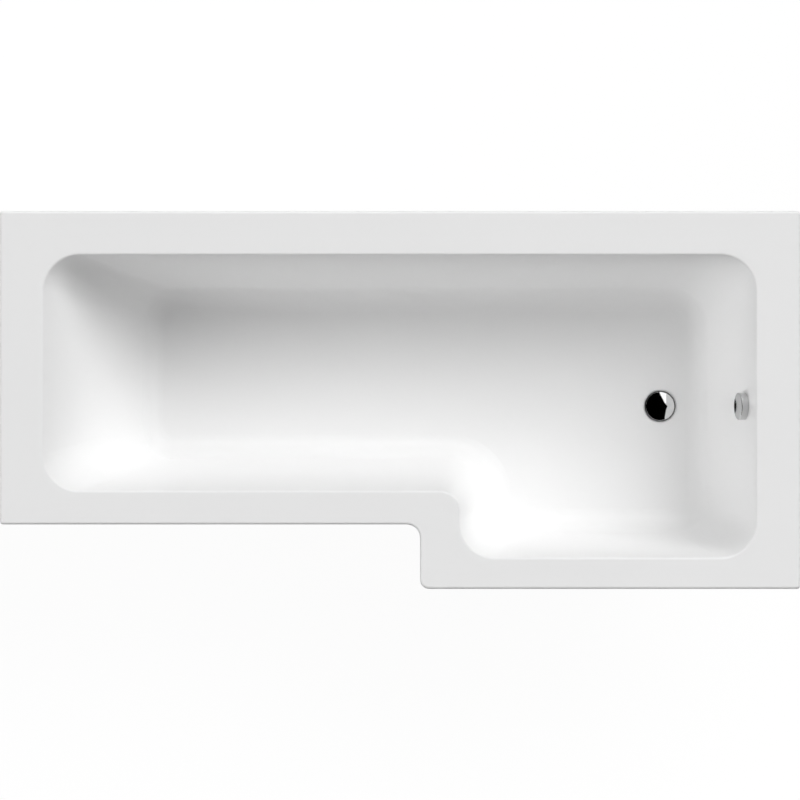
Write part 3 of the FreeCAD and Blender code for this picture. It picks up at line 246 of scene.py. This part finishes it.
class Finish:
    """A material or a sky, built up from nodes."""

    def __init__(self, owner):
        owner.use_nodes = True
        self.owner = owner
        self.nodes = owner.node_tree.nodes
        self.links = owner.node_tree.links
        self.nodes.clear()

    def add(self, kind, settings=None, sockets=None, output=0):
        """A node of a kind: its settings first, then a number, colour or link for each socket."""
        node = self.nodes.new("ShaderNode" + kind)
        for name, setting in (settings or {}).items():
            if name == "stops":
                self.set_stops(node.color_ramp.elements, setting)
            else:
                setattr(node, name, setting)
        for name, amount in (sockets or {}).items():
            socket = node.inputs[name]
            if isinstance(amount, Value):
                self.links.new(amount.socket, socket)
            elif socket.type == "RGBA":
                socket.default_value = (*amount, 1.0)
            else:
                socket.default_value = amount
        return Value(self, node.outputs[output]) if node.outputs else None

    def set_stops(self, elements, stops):
        while len(elements) < len(stops):
            elements.new(1.0)
        for element, (position, colour) in zip(elements, stops):
            element.position = position
            element.color = (*colour, 1.0)

    def math(self, operation, first, second):
        return self.add("Math", {"operation": operation}, {0: first, 1: second})

    def place(self, stretch=(1, 1, 1), turn=(0, 0, 0)):
        """A point's place on the object, in metres, for a pattern that is stretched and then turned."""
        point = self.add("TexCoord", output="Object")
        return self.add(
            "Mapping", {"vector_type": "TEXTURE"}, {"Vector": point, "Scale": stretch, "Rotation": turn})

    def noise(self, size, detail=2.0, stretch=(1, 1, 1), turn=(0, 0, 0)):
        """Soft cloudy variation, from 0 to 1, with patches of about a size."""
        where = self.place(stretch, turn)
        return self.add("TexNoise", sockets={"Vector": where, "Scale": 1 / size, "Detail": detail})

    def cells(self, size, stretch=(1, 1, 1)):
        """Cells of about a size, each with a grey of its own."""
        where = self.place(stretch)
        colour = self.add("TexVoronoi", sockets={"Vector": where, "Scale": 1 / size}, output="Color")
        return self.add("RGBToBW", sockets={"Color": colour})

    def tint(self, amount, stops):
        """A colour picked along a row of colours."""
        return self.add("ValToRGB", {"stops": stops}, {"Fac": amount})

    def bump(self, height, depth):
        return self.add("Bump", sockets={"Height": height, "Distance": depth, "Strength": 1.0})

    def looked_at(self):
        """1 to the eye, in mirrors and through clear pieces, and 0 to light that only bounces."""
        kinds = ("Camera", "Glossy", "Transmission")
        eye, mirrored, through = [self.add("LightPath", output=f"Is {kind} Ray") for kind in kinds]
        return eye.larger(mirrored).larger(through)

    def surface(self, **sockets):
        """Ends the material in one glossy, metal or dull surface."""
        named = {name.replace("_", " "): amount for name, amount in sockets.items()}
        return self.end(self.add("BsdfPrincipled", sockets=named))

    def end(self, shader):
        kind = "OutputWorld" if isinstance(self.owner, bpy.types.World) else "OutputMaterial"
        self.add(kind, sockets={"Surface": shader})
        return self.owner


def new_finish(name):
    return Finish(bpy.data.materials.new(name))


# Finishes


def polished_acrylic():
    """White acrylic, with the faint ripple of a formed sheet."""
    finish = new_finish("polished_acrylic")
    cloud = finish.noise(size=0.35)
    ripple = finish.noise(size=0.022, detail=1.0)
    sheen = finish.noise(size=0.12)
    return finish.surface(
        Base_Color=finish.tint(cloud, COLOURS["acrylic"]), Roughness=sheen.between(0.27, 0.33),
        Specular_IOR_Level=0.25, Normal=finish.bump(ripple, depth=0.00003))


def laid_glassfibre():
    """Chopped strands in pooled resin."""
    finish = new_finish("laid_glassfibre")
    strands = None
    for lie in STRAND_TURNS:
        strand = finish.noise(STRAND_WIDTH, detail=0.0, stretch=(STRAND_STRETCH, 1, 1), turn=lie)
        strands = strand if strands is None else strands.larger(strand)
    pools = finish.noise(size=0.06, detail=3.0)
    return finish.surface(
        Base_Color=finish.tint(strands.mixed(pools, 0.3), COLOURS["glassfibre"]),
        Roughness=strands.between(0.38, 0.68), Normal=finish.bump(strands + pools, depth=0.0006))


def pressed_board():
    """Pressed wood chips and dust."""
    finish = new_finish("pressed_board")
    chips = finish.cells(size=0.004, stretch=(1, 2.2, 1))
    dust = finish.noise(size=0.0016, detail=4.0)
    return finish.surface(
        Base_Color=finish.tint(chips.mixed(dust, 0.25), COLOURS["board"]),
        Roughness=dust.between(0.65, 0.85), Normal=finish.bump(dust, depth=0.0003))


def sawn_timber(name, along):
    """Softwood with its grain along one axis."""
    finish = new_finish(name)
    lengthways = tuple(GRAIN_STRETCH if axis == along else 1.0 for axis in range(3))
    crossways = tuple(1.0 if axis == along else SAW_STRETCH for axis in range(3))
    rings = finish.noise(size=0.007, detail=2.0, stretch=lengthways)
    fibre = finish.noise(size=0.0011, detail=3.0, stretch=lengthways)
    saw = finish.noise(size=0.003, detail=1.0, stretch=crossways)
    return finish.surface(
        Base_Color=finish.tint(rings.mixed(fibre, 0.3), COLOURS["timber"]),
        Roughness=fibre.between(0.62, 0.82), Normal=finish.bump(fibre + saw, depth=0.00025))


def galvanised_sheet():
    """Dipped steel sheet with its spangle."""
    finish = new_finish("galvanised_sheet")
    spangle = finish.cells(size=0.011)
    cloud = finish.noise(size=0.05, detail=3.0)
    dimples = finish.noise(size=0.004)
    return finish.surface(
        Base_Color=finish.tint(spangle.mixed(cloud, 0.4), COLOURS["galvanised"]), Metallic=1.0,
        Roughness=spangle.between(0.32, 0.54), Normal=finish.bump(dimples, depth=0.00003))


def bright_zinc(name):
    """Plated steel, a little yellow in places."""
    finish = new_finish(name)
    cloud = finish.noise(size=0.02, detail=3.0)
    plating = finish.noise(size=0.0007)
    return finish.surface(
        Base_Color=finish.tint(cloud, COLOURS["zinc"]), Metallic=1.0,
        Roughness=cloud.between(0.24, 0.4), Normal=finish.bump(plating, depth=0.00002))


def polished_chrome():
    """Bright plate with faint smears."""
    finish = new_finish("polished_chrome")
    smear = finish.noise(size=0.012, detail=4.0, stretch=(1, 1, 2.5))
    return finish.surface(
        Base_Color=finish.tint(smear, COLOURS["chrome"]), Metallic=1.0, Roughness=smear.between(0.02, 0.05))


def moulded(name, roughness, grain):
    """A moulded plastic or rubber with a fine grain."""
    finish = new_finish(name)
    cloud = finish.noise(size=0.03, detail=3.0)
    speck = finish.noise(size=grain, detail=2.0)
    return finish.surface(
        Base_Color=finish.tint(cloud.mixed(speck, 0.3), COLOURS[name]),
        Roughness=speck.between(roughness, roughness + MOULD_DULLING),
        Normal=finish.bump(speck, depth=grain * MOULD_DEPTH))


def turned_brass():
    """Brass with fine rings from turning."""
    finish = new_finish("turned_brass")
    rings = finish.noise(size=0.0006, detail=1.0, stretch=(20, 20, 1))
    cloud = finish.noise(size=0.01)
    return finish.surface(
        Base_Color=finish.tint(cloud, COLOURS["brass"]), Metallic=1.0,
        Roughness=rings.between(0.2, 0.35), Normal=finish.bump(rings, depth=0.00002))


finishes = {
    "acrylic": polished_acrylic(),
    "glassfibre": laid_glassfibre(),
    "chipboard": pressed_board(),
    "timber": sawn_timber("long_timber", along=0),
    "galvanised_sheet": galvanised_sheet(),
    "zinc_plate": bright_zinc("bright_zinc"),
    "chrome": polished_chrome(),
    "rubber": moulded("black_rubber", roughness=0.55, grain=0.0008),
    "white_plastic": moulded("white_plastic", roughness=0.32, grain=0.0006),
    "core_plastic": moulded("black_core", roughness=0.4, grain=0.0006),
    "hose_plastic": moulded("hose_plastic", roughness=0.4, grain=0.0008),
    "brass": turned_brass(),
    "spring_steel": bright_zinc("spring_steel"),
    "foot_plastic": moulded("black_nylon", roughness=0.45, grain=0.0007),
}
cross_timber = sawn_timber("cross_timber", along=1)


def dress(piece, material):
    piece.data.materials.clear()
    piece.data.materials.append(material)


def dress_solids():
    """Gives every solid of the frame its finish."""
    for subpart in frame["record"]["subparts"]:
        dress(frame["nodes"][subpart["node"]], finishes[subpart["material_slot"]])
    for name in ("head_rim_batten", "foot_rim_batten"):
        dress(frame["nodes"][name], cross_timber)


# Mesh work


def weld(work):
    bmesh.ops.remove_doubles(work, verts=work.verts, dist=WELD)


def everything(work):
    return work.verts[:] + work.edges[:] + work.faces[:]


def corners_among(items):
    return [item for item in items if isinstance(item, bmesh.types.BMVert)]


def shape(work, name):
    """Ends mesh work as a mesh."""
    mesh = bpy.data.meshes.new(name)
    work.to_mesh(mesh)
    work.free()
    return mesh


def finish_piece(name, work, slot, replaced):
    """Turns mesh work into a piece that stands for a node of the frame."""
    weld(work)
    bmesh.ops.recalc_face_normals(work, faces=work.faces)
    mesh = shape(work, name)
    mesh.shade_smooth()
    mesh.set_sharp_from_angle(angle=SMOOTH_ANGLE)
    piece = bpy.data.objects.new(name, mesh)
    scene.collection.objects.link(piece)
    dress(piece, finishes[slot])
    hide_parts(replaced)
    return piece


def draw_line(work, points):
    """Joins points by edges and returns both."""
    corners = [work.verts.new(point) for point in points]
    sides = [work.edges.new(pair) for pair in zip(corners, corners[1:])]
    return corners + sides


def lathe(work, section, steps):
    """Turns a section, given as radius and height, right round the Z axis."""
    line = draw_line(work, [(radius, 0, height) for radius, height in section])
    bmesh.ops.spin(work, geom=line, cent=ORIGIN, axis=UP, angle=math.tau, steps=steps, use_merge=True)
    weld(work)


def cut_level(work, height, upwards):
    """Cuts the mesh off level at a height, on its upper or lower side, and closes the cut."""
    normal = UP if upwards else -UP
    bmesh.ops.bisect_plane(
        work, geom=everything(work), plane_co=(0, 0, height), plane_no=normal, clear_outer=True)
    rim = [edge for edge in work.edges if edge.is_boundary
           and all(abs(corner.co.z - height) < WELD for corner in edge.verts)]
    bmesh.ops.edgeloop_fill(work, edges=rim)


def thread(work, radius, root, pitch, low, high, steps):
    """A screw thread about the Z axis, cut level at both ends: one turn, copied upwards by doubling."""
    line = draw_line(work, [
        (radius if crest else radius - root, 0, low + (share - SPARE_TURNS) * pitch)
        for crest, share in THREAD_SECTION])
    bmesh.ops.spin(
        work, geom=line, cent=ORIGIN, axis=UP, dvec=(0, 0, pitch / steps), angle=math.tau, steps=steps,
        use_merge=False)
    turns = 1
    while turns * pitch < high - low + (SPARE_TURNS + 1) * pitch:
        copied = bmesh.ops.duplicate(work, geom=everything(work))["geom"]
        bmesh.ops.translate(work, verts=corners_among(copied), vec=(0, 0, turns * pitch))
        turns *= 2
    weld(work)
    cut_level(work, low, upwards=False)
    cut_level(work, high, upwards=True)


def solids_of(name):
    """The lowest and highest corners of each separate solid in a node of the frame, in order of place."""
    work = bmesh.new()
    work.from_mesh(frame["nodes"][name].data)
    weld(work)
    boxes = []
    left = set(work.verts)
    while left:
        reached = {left.pop()}
        grown = set(reached)
        while grown:
            grown = {edge.other_vert(corner) for corner in grown for edge in corner.link_edges} & left
            left -= grown
            reached |= grown
        places = [corner.co for corner in reached]
        boxes.append((Vector(map(min, *places)), Vector(map(max, *places))))
    work.free()
    return sorted(boxes, key=lambda box: tuple(round(amount, 4) for amount in box[0]))


def stamp(work, pattern, place):
    """Adds a copy of a finished shape at a place."""
    before = len(work.verts)
    work.from_mesh(pattern)
    work.verts.ensure_lookup_table()
    bmesh.ops.translate(work, verts=work.verts[before:], vec=place)


# Detailed small pieces


def leg_rod(name):
    """A threaded rod with a chamfer at each end."""
    low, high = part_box(name)
    middle = (low + high) / 2
    radius = (high.x - low.x) / 2
    work = bmesh.new()
    thread(work, radius, ROD_ROOT, ROD_PITCH, low.z, high.z, ROD_STEPS)
    for corner in work.verts:
        end_gap = min(corner.co.z - low.z, high.z - corner.co.z)
        most = radius - ROD_CHAMFER + end_gap
        reach = corner.co.xy.length
        if reach > most:
            corner.co.xy *= most / reach
    bmesh.ops.translate(work, verts=work.verts, vec=(middle.x, middle.y, 0))
    rod = finish_piece("threaded_" + name, work, "zinc_plate", name)
    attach(rod, frame["nodes"][name]["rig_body"])


def nut_shape(flats, bore, thickness):
    """A hexagon nut with its corners chamfered on both faces."""
    work = bmesh.new()
    hexagon = bmesh.ops.create_circle(
        work, segments=HEX_SIDES, radius=flats / 2 / math.cos(math.pi / HEX_SIDES))["verts"]
    sides = list({edge for corner in hexagon for edge in corner.link_edges})
    bmesh.ops.subdivide_edges(work, edges=sides, cuts=NUT_SIDE_CUTS)
    bmesh.ops.create_circle(work, segments=HEX_SIDES * (NUT_SIDE_CUTS + 1), radius=bore)
    ring = bmesh.ops.bridge_loops(work, edges=work.edges[:])["faces"]
    raised = bmesh.ops.extrude_face_region(work, geom=ring, use_keep_orig=True)["geom"]
    bmesh.ops.translate(work, verts=corners_among(raised), vec=(0, 0, thickness))
    bmesh.ops.recalc_face_normals(work, faces=work.faces)
    for step in range(NUT_CUTS):
        angle = math.tau * step / NUT_CUTS
        out = Vector((math.cos(angle), math.sin(angle), 0))
        for height, way in ((thickness, UP), (0.0, -UP)):
            cut = bmesh.ops.bisect_plane(
                work, geom=everything(work), plane_co=out * flats / 2 + UP * height,
                plane_no=out * math.sin(NUT_SLOPE) + way * math.cos(NUT_SLOPE), clear_outer=True)["geom_cut"]
            edges = [item for item in cut if isinstance(item, bmesh.types.BMEdge) and item.is_boundary]
            if edges:
                bmesh.ops.edgeloop_fill(work, edges=edges)
    return shape(work, "nut_shape")


def nuts(name):
    """A set of nuts, each on its rod."""
    boxes = solids_of(name)
    low, high = boxes[0]
    rod_low, rod_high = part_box("head_back_leg_rod")
    bore = (rod_high.x - rod_low.x) / 2 + NUT_BORE_GAP
    pattern = nut_shape(min(high.x - low.x, high.y - low.y), bore, high.z - low.z)
    work = bmesh.new()
    for low, high in boxes:
        stamp(work, pattern, ((low.x + high.x) / 2, (low.y + high.y) / 2, low.z))
    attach(finish_piece("chamfered_" + name, work, "zinc_plate", name), "bath")


def sink_cross(work, head):
    """Sinks a cross into the flat end of a screw's head, whose height is given."""
    for reach in (RECESS_WIDTH, RECESS_REACH):
        for normal in (Vector((1, 0, 0)), Vector((0, 1, 0))):
            for side in (reach, -reach):
                flat = [face for face in work.faces if abs(face.calc_center_median().z + head) < WELD]
                parts = list({part for face in flat for part in (face, *face.edges, *face.verts)})
                bmesh.ops.bisect_plane(work, geom=parts, plane_co=normal * side, plane_no=normal)
    cross = []
    for face in work.faces:
        middle = face.calc_center_median()
        near, far = sorted((abs(middle.x), abs(middle.y)))
        if abs(middle.z + head) < WELD and near < RECESS_WIDTH and far < RECESS_REACH:
            cross.append(face)
    sunk = bmesh.ops.extrude_face_region(work, geom=cross)["geom"]
    bmesh.ops.translate(work, verts=corners_among(sunk), vec=(0, 0, RECESS_DEPTH))
    bmesh.ops.delete(work, geom=[face for face in cross if face.is_valid], context="FACES_ONLY")


def screw_shape(head_radius, head, shank, length):
    """A pan-head wood screw that points up, with a cross recess in its head and a coarse thread."""
    work = bmesh.new()
    lathe(work, [(head_radius * out, -head * down) for out, down in HEAD_SECTION], SCREW_STEPS)
    sink_cross(work, head)
    shaft = bmesh.new()
    thread(shaft, shank, shank * SCREW_ROOT, SCREW_PITCH, 0.0, length, SCREW_STEPS // 2)
    for corner in shaft.verts:
        taper = (length - corner.co.z) / (SCREW_POINT * shank) + SCREW_TIP
        corner.co.xy *= min(1.0, taper)
    work.from_mesh(shape(shaft, "shaft_shape"))
    return shape(work, "screw_shape")


def screws(name):
    """A set of screws, each with its head against the metal below the wood."""
    boxes = solids_of(name)
    low, high = boxes[0]
    head_radius = (high.x - low.x) / 2
    head = head_radius * HEAD_HEIGHT
    pattern = screw_shape(head_radius, head, head_radius * SHANK_RADIUS, high.z - low.z - head)
    work = bmesh.new()
    for low, high in boxes:
        stamp(work, pattern, ((low.x + high.x) / 2, (low.y + high.y) / 2, low.z + head))
    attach(finish_piece("cross_head_" + name, work, "zinc_plate", name), "bath")


def ribbed_hose():
    """The overflow hose: a straight ribbed tube, bent along its route from the elbow to the waste."""
    low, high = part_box("overflow_hose")
    ridge = (high.y - low.y) / 2
    valley = ridge - HOSE_VALLEY_DEPTH
    bore = valley - HOSE_WALL
    spout_x = high.x - ridge
    bend = spout_x - low.x - HOSE_CUFF
    bend_z = low.z + ridge + bend
    fall = high.z - bend_z
    sweep = bend * math.pi / 2
    length = fall + sweep + HOSE_CUFF
    ribbed = length - 2 * HOSE_CUFF
    ribs = int(ribbed / HOSE_PITCH)
    section = [(bore, 0.0), (valley, 0.0)]
    for index in range(ribs * RIB_POINTS + 1):
        lift = (1 - math.cos(math.tau * index / RIB_POINTS)) / 2
        reach = valley + (ridge - valley) * lift ** RIB_FULLNESS
        section.append((reach, HOSE_CUFF + ribbed * index / ribs / RIB_POINTS))
    section += [(valley, length), (bore, length)]
    inner = BORE_POINTS * ribs
    section += [(bore, length * (inner - index) / inner) for index in range(1, inner + 1)]
    work = bmesh.new()
    lathe(work, section, HOSE_STEPS)
    middle_y = (low.y + high.y) / 2
    for corner in work.verts:
        along = corner.co.z
        side = corner.co.x
        angle = min(max((along - fall) / bend, 0.0), math.pi / 2)
        past = max(along - fall - sweep, 0.0)
        drop = min(along, fall) + bend * math.sin(angle)
        back = bend * (1 - math.cos(angle)) + past
        corner.co = Vector((
            spout_x - back + side * math.cos(angle),
            middle_y + corner.co.y,
            high.z - drop - side * math.sin(angle)))
    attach(finish_piece("ribbed_overflow_hose", work, "hose_plastic", "overflow_hose"), "bath")


def coil_spring():
    """The plug's spring, one round wire that stands in the waste."""
    low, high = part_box("plug_spring")
    middle = (low + high) / 2
    radius = (high.x - low.x) / 2 - SPRING_WIRE
    steps = SPRING_TURNS * SPRING_STEPS
    climb = (high.z - low.z - 2 * SPRING_WIRE) / steps
    upright = Matrix.Rotation(math.pi / 2, 4, "X")
    work = bmesh.new()
    bmesh.ops.create_circle(
        work, cap_ends=True, segments=WIRE_SIDES, radius=SPRING_WIRE,
        matrix=Matrix.Translation((radius, 0, low.z + SPRING_WIRE)) @ upright)
    bmesh.ops.spin(
        work, geom=everything(work), cent=ORIGIN, axis=UP, dvec=(0, 0, climb),
        angle=math.tau * SPRING_TURNS, steps=steps, use_merge=False)
    bmesh.ops.translate(work, verts=work.verts, vec=(middle.x, middle.y, 0))
    spring = finish_piece("wound_plug_spring", work, "spring_steel", "plug_spring")
    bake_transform(spring)


# Stage


def stage_piece(name, work, material):
    piece = bpy.data.objects.new(name, shape(work, name))
    scene.collection.objects.link(piece)
    dress(piece, material)
    return piece


def studio_floor():
    """A white floor that keeps a light shadow and is clear from below."""
    finish = new_finish("studio_white")
    seen = finish.looked_at()
    bounce = finish.add("BsdfDiffuse", sockets={"Color": (FLOOR_BOUNCE,) * 3})
    lit = finish.add("BsdfDiffuse", sockets={"Color": (FLOOR_LIT,) * 3})
    plain = finish.add("Emission", sockets={"Color": (1, 1, 1), "Strength": FLOOR_PLAIN})
    shadowed = finish.add("AddShader", sockets={0: lit, 1: plain})
    mixed = finish.add("MixShader", sockets={0: seen, 1: bounce, 2: shadowed})
    from_below = finish.add("NewGeometry", output="Backfacing")
    clear = finish.add("BsdfTransparent")
    material = finish.end(finish.add("MixShader", sockets={0: from_below, 1: mixed, 2: clear}))
    work = bmesh.new()
    bmesh.ops.create_grid(work, x_segments=1, y_segments=1, size=FLOOR_REACH)
    bmesh.ops.translate(work, verts=work.verts, vec=(0, 0, bath_low.z - LEG_TRAVEL - FLOOR_GAP))
    stage_piece("studio_floor", work, material)


def painted_reflection_card(name, rise, lightness, outline):
    """A level card over the waste that only shows mirrored: a glowing sheet that paints a reflection into
    the chrome, and gives no light and casts no shadow.
    """
    finish = new_finish(name)
    glow = finish.add("Emission", sockets={"Color": (1, 1, 1), "Strength": lightness})
    low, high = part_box("plug_cap")
    middle = (low + high) / 2
    work = bmesh.new()
    corners = [work.verts.new((middle.x + x, middle.y + y, high.z + rise)) for x, y in outline]
    work.faces.new(corners)
    card = stage_piece(name, work, finish.end(glow))
    card.visible_camera = False
    card.visible_diffuse = False
    card.visible_transmission = False
    card.visible_shadow = False


def studio_light():
    """Broad lamps, brightest from the wall side, under a sky that is seen but gives no light."""
    for name, (around, up, strength) in LAMPS.items():
        lamp = bpy.data.lights.new(name, "SUN")
        lamp.energy = strength
        lamp.angle = math.radians(LAMP_WIDTH)
        stand = bpy.data.objects.new(name, lamp)
        scene.collection.objects.link(stand)
        level = math.radians(around)
        rise = math.radians(up)
        way = Vector((math.cos(rise) * math.cos(level), math.cos(rise) * math.sin(level), math.sin(rise)))
        stand.rotation_mode = "QUATERNION"
        stand.rotation_quaternion = way.to_track_quat("Z", "Y")
    sky = Finish(bpy.data.worlds.new("studio_sky"))
    scene.world = sky.end(sky.add("Background", sockets={"Color": (1, 1, 1), "Strength": sky.looked_at()}))


def camera_above():
    """A camera straight above, with the rim across the whole picture."""
    lens = bpy.data.cameras.new("camera_above")
    lens.sensor_width = SENSOR
    lens.lens = SENSOR * CAMERA_RISE / (bath_high.x - bath_low.x)
    lens.clip_end = 2 * CAMERA_RISE
    camera = bpy.data.objects.new("camera_above", lens)
    scene.collection.objects.link(camera)
    middle = (bath_low + bath_high) / 2
    camera.location = (middle.x, middle.y, bath_high.z + CAMERA_RISE)
    scene.camera = camera


camera_above()
dress_solids()
for rail in ("head", "middle", "foot"):
    for side in ("back", "front"):
        leg_rod(f"{rail}_{side}_leg_rod")
for fixing in ("lock_nuts", "adjusting_nuts"):
    nuts(fixing)
for fixing in ("rail_screws", "bracket_screws"):
    screws(fixing)
ribbed_hose()
coil_spring()
studio_floor()
# Cards that paint dark, white and grey reflections into the chrome over the waste
for card, (rise, lightness, outline) in CARDS.items():
    painted_reflection_card(card, rise, lightness, outline)
studio_light()
scene.view_settings.view_transform = "Standard"
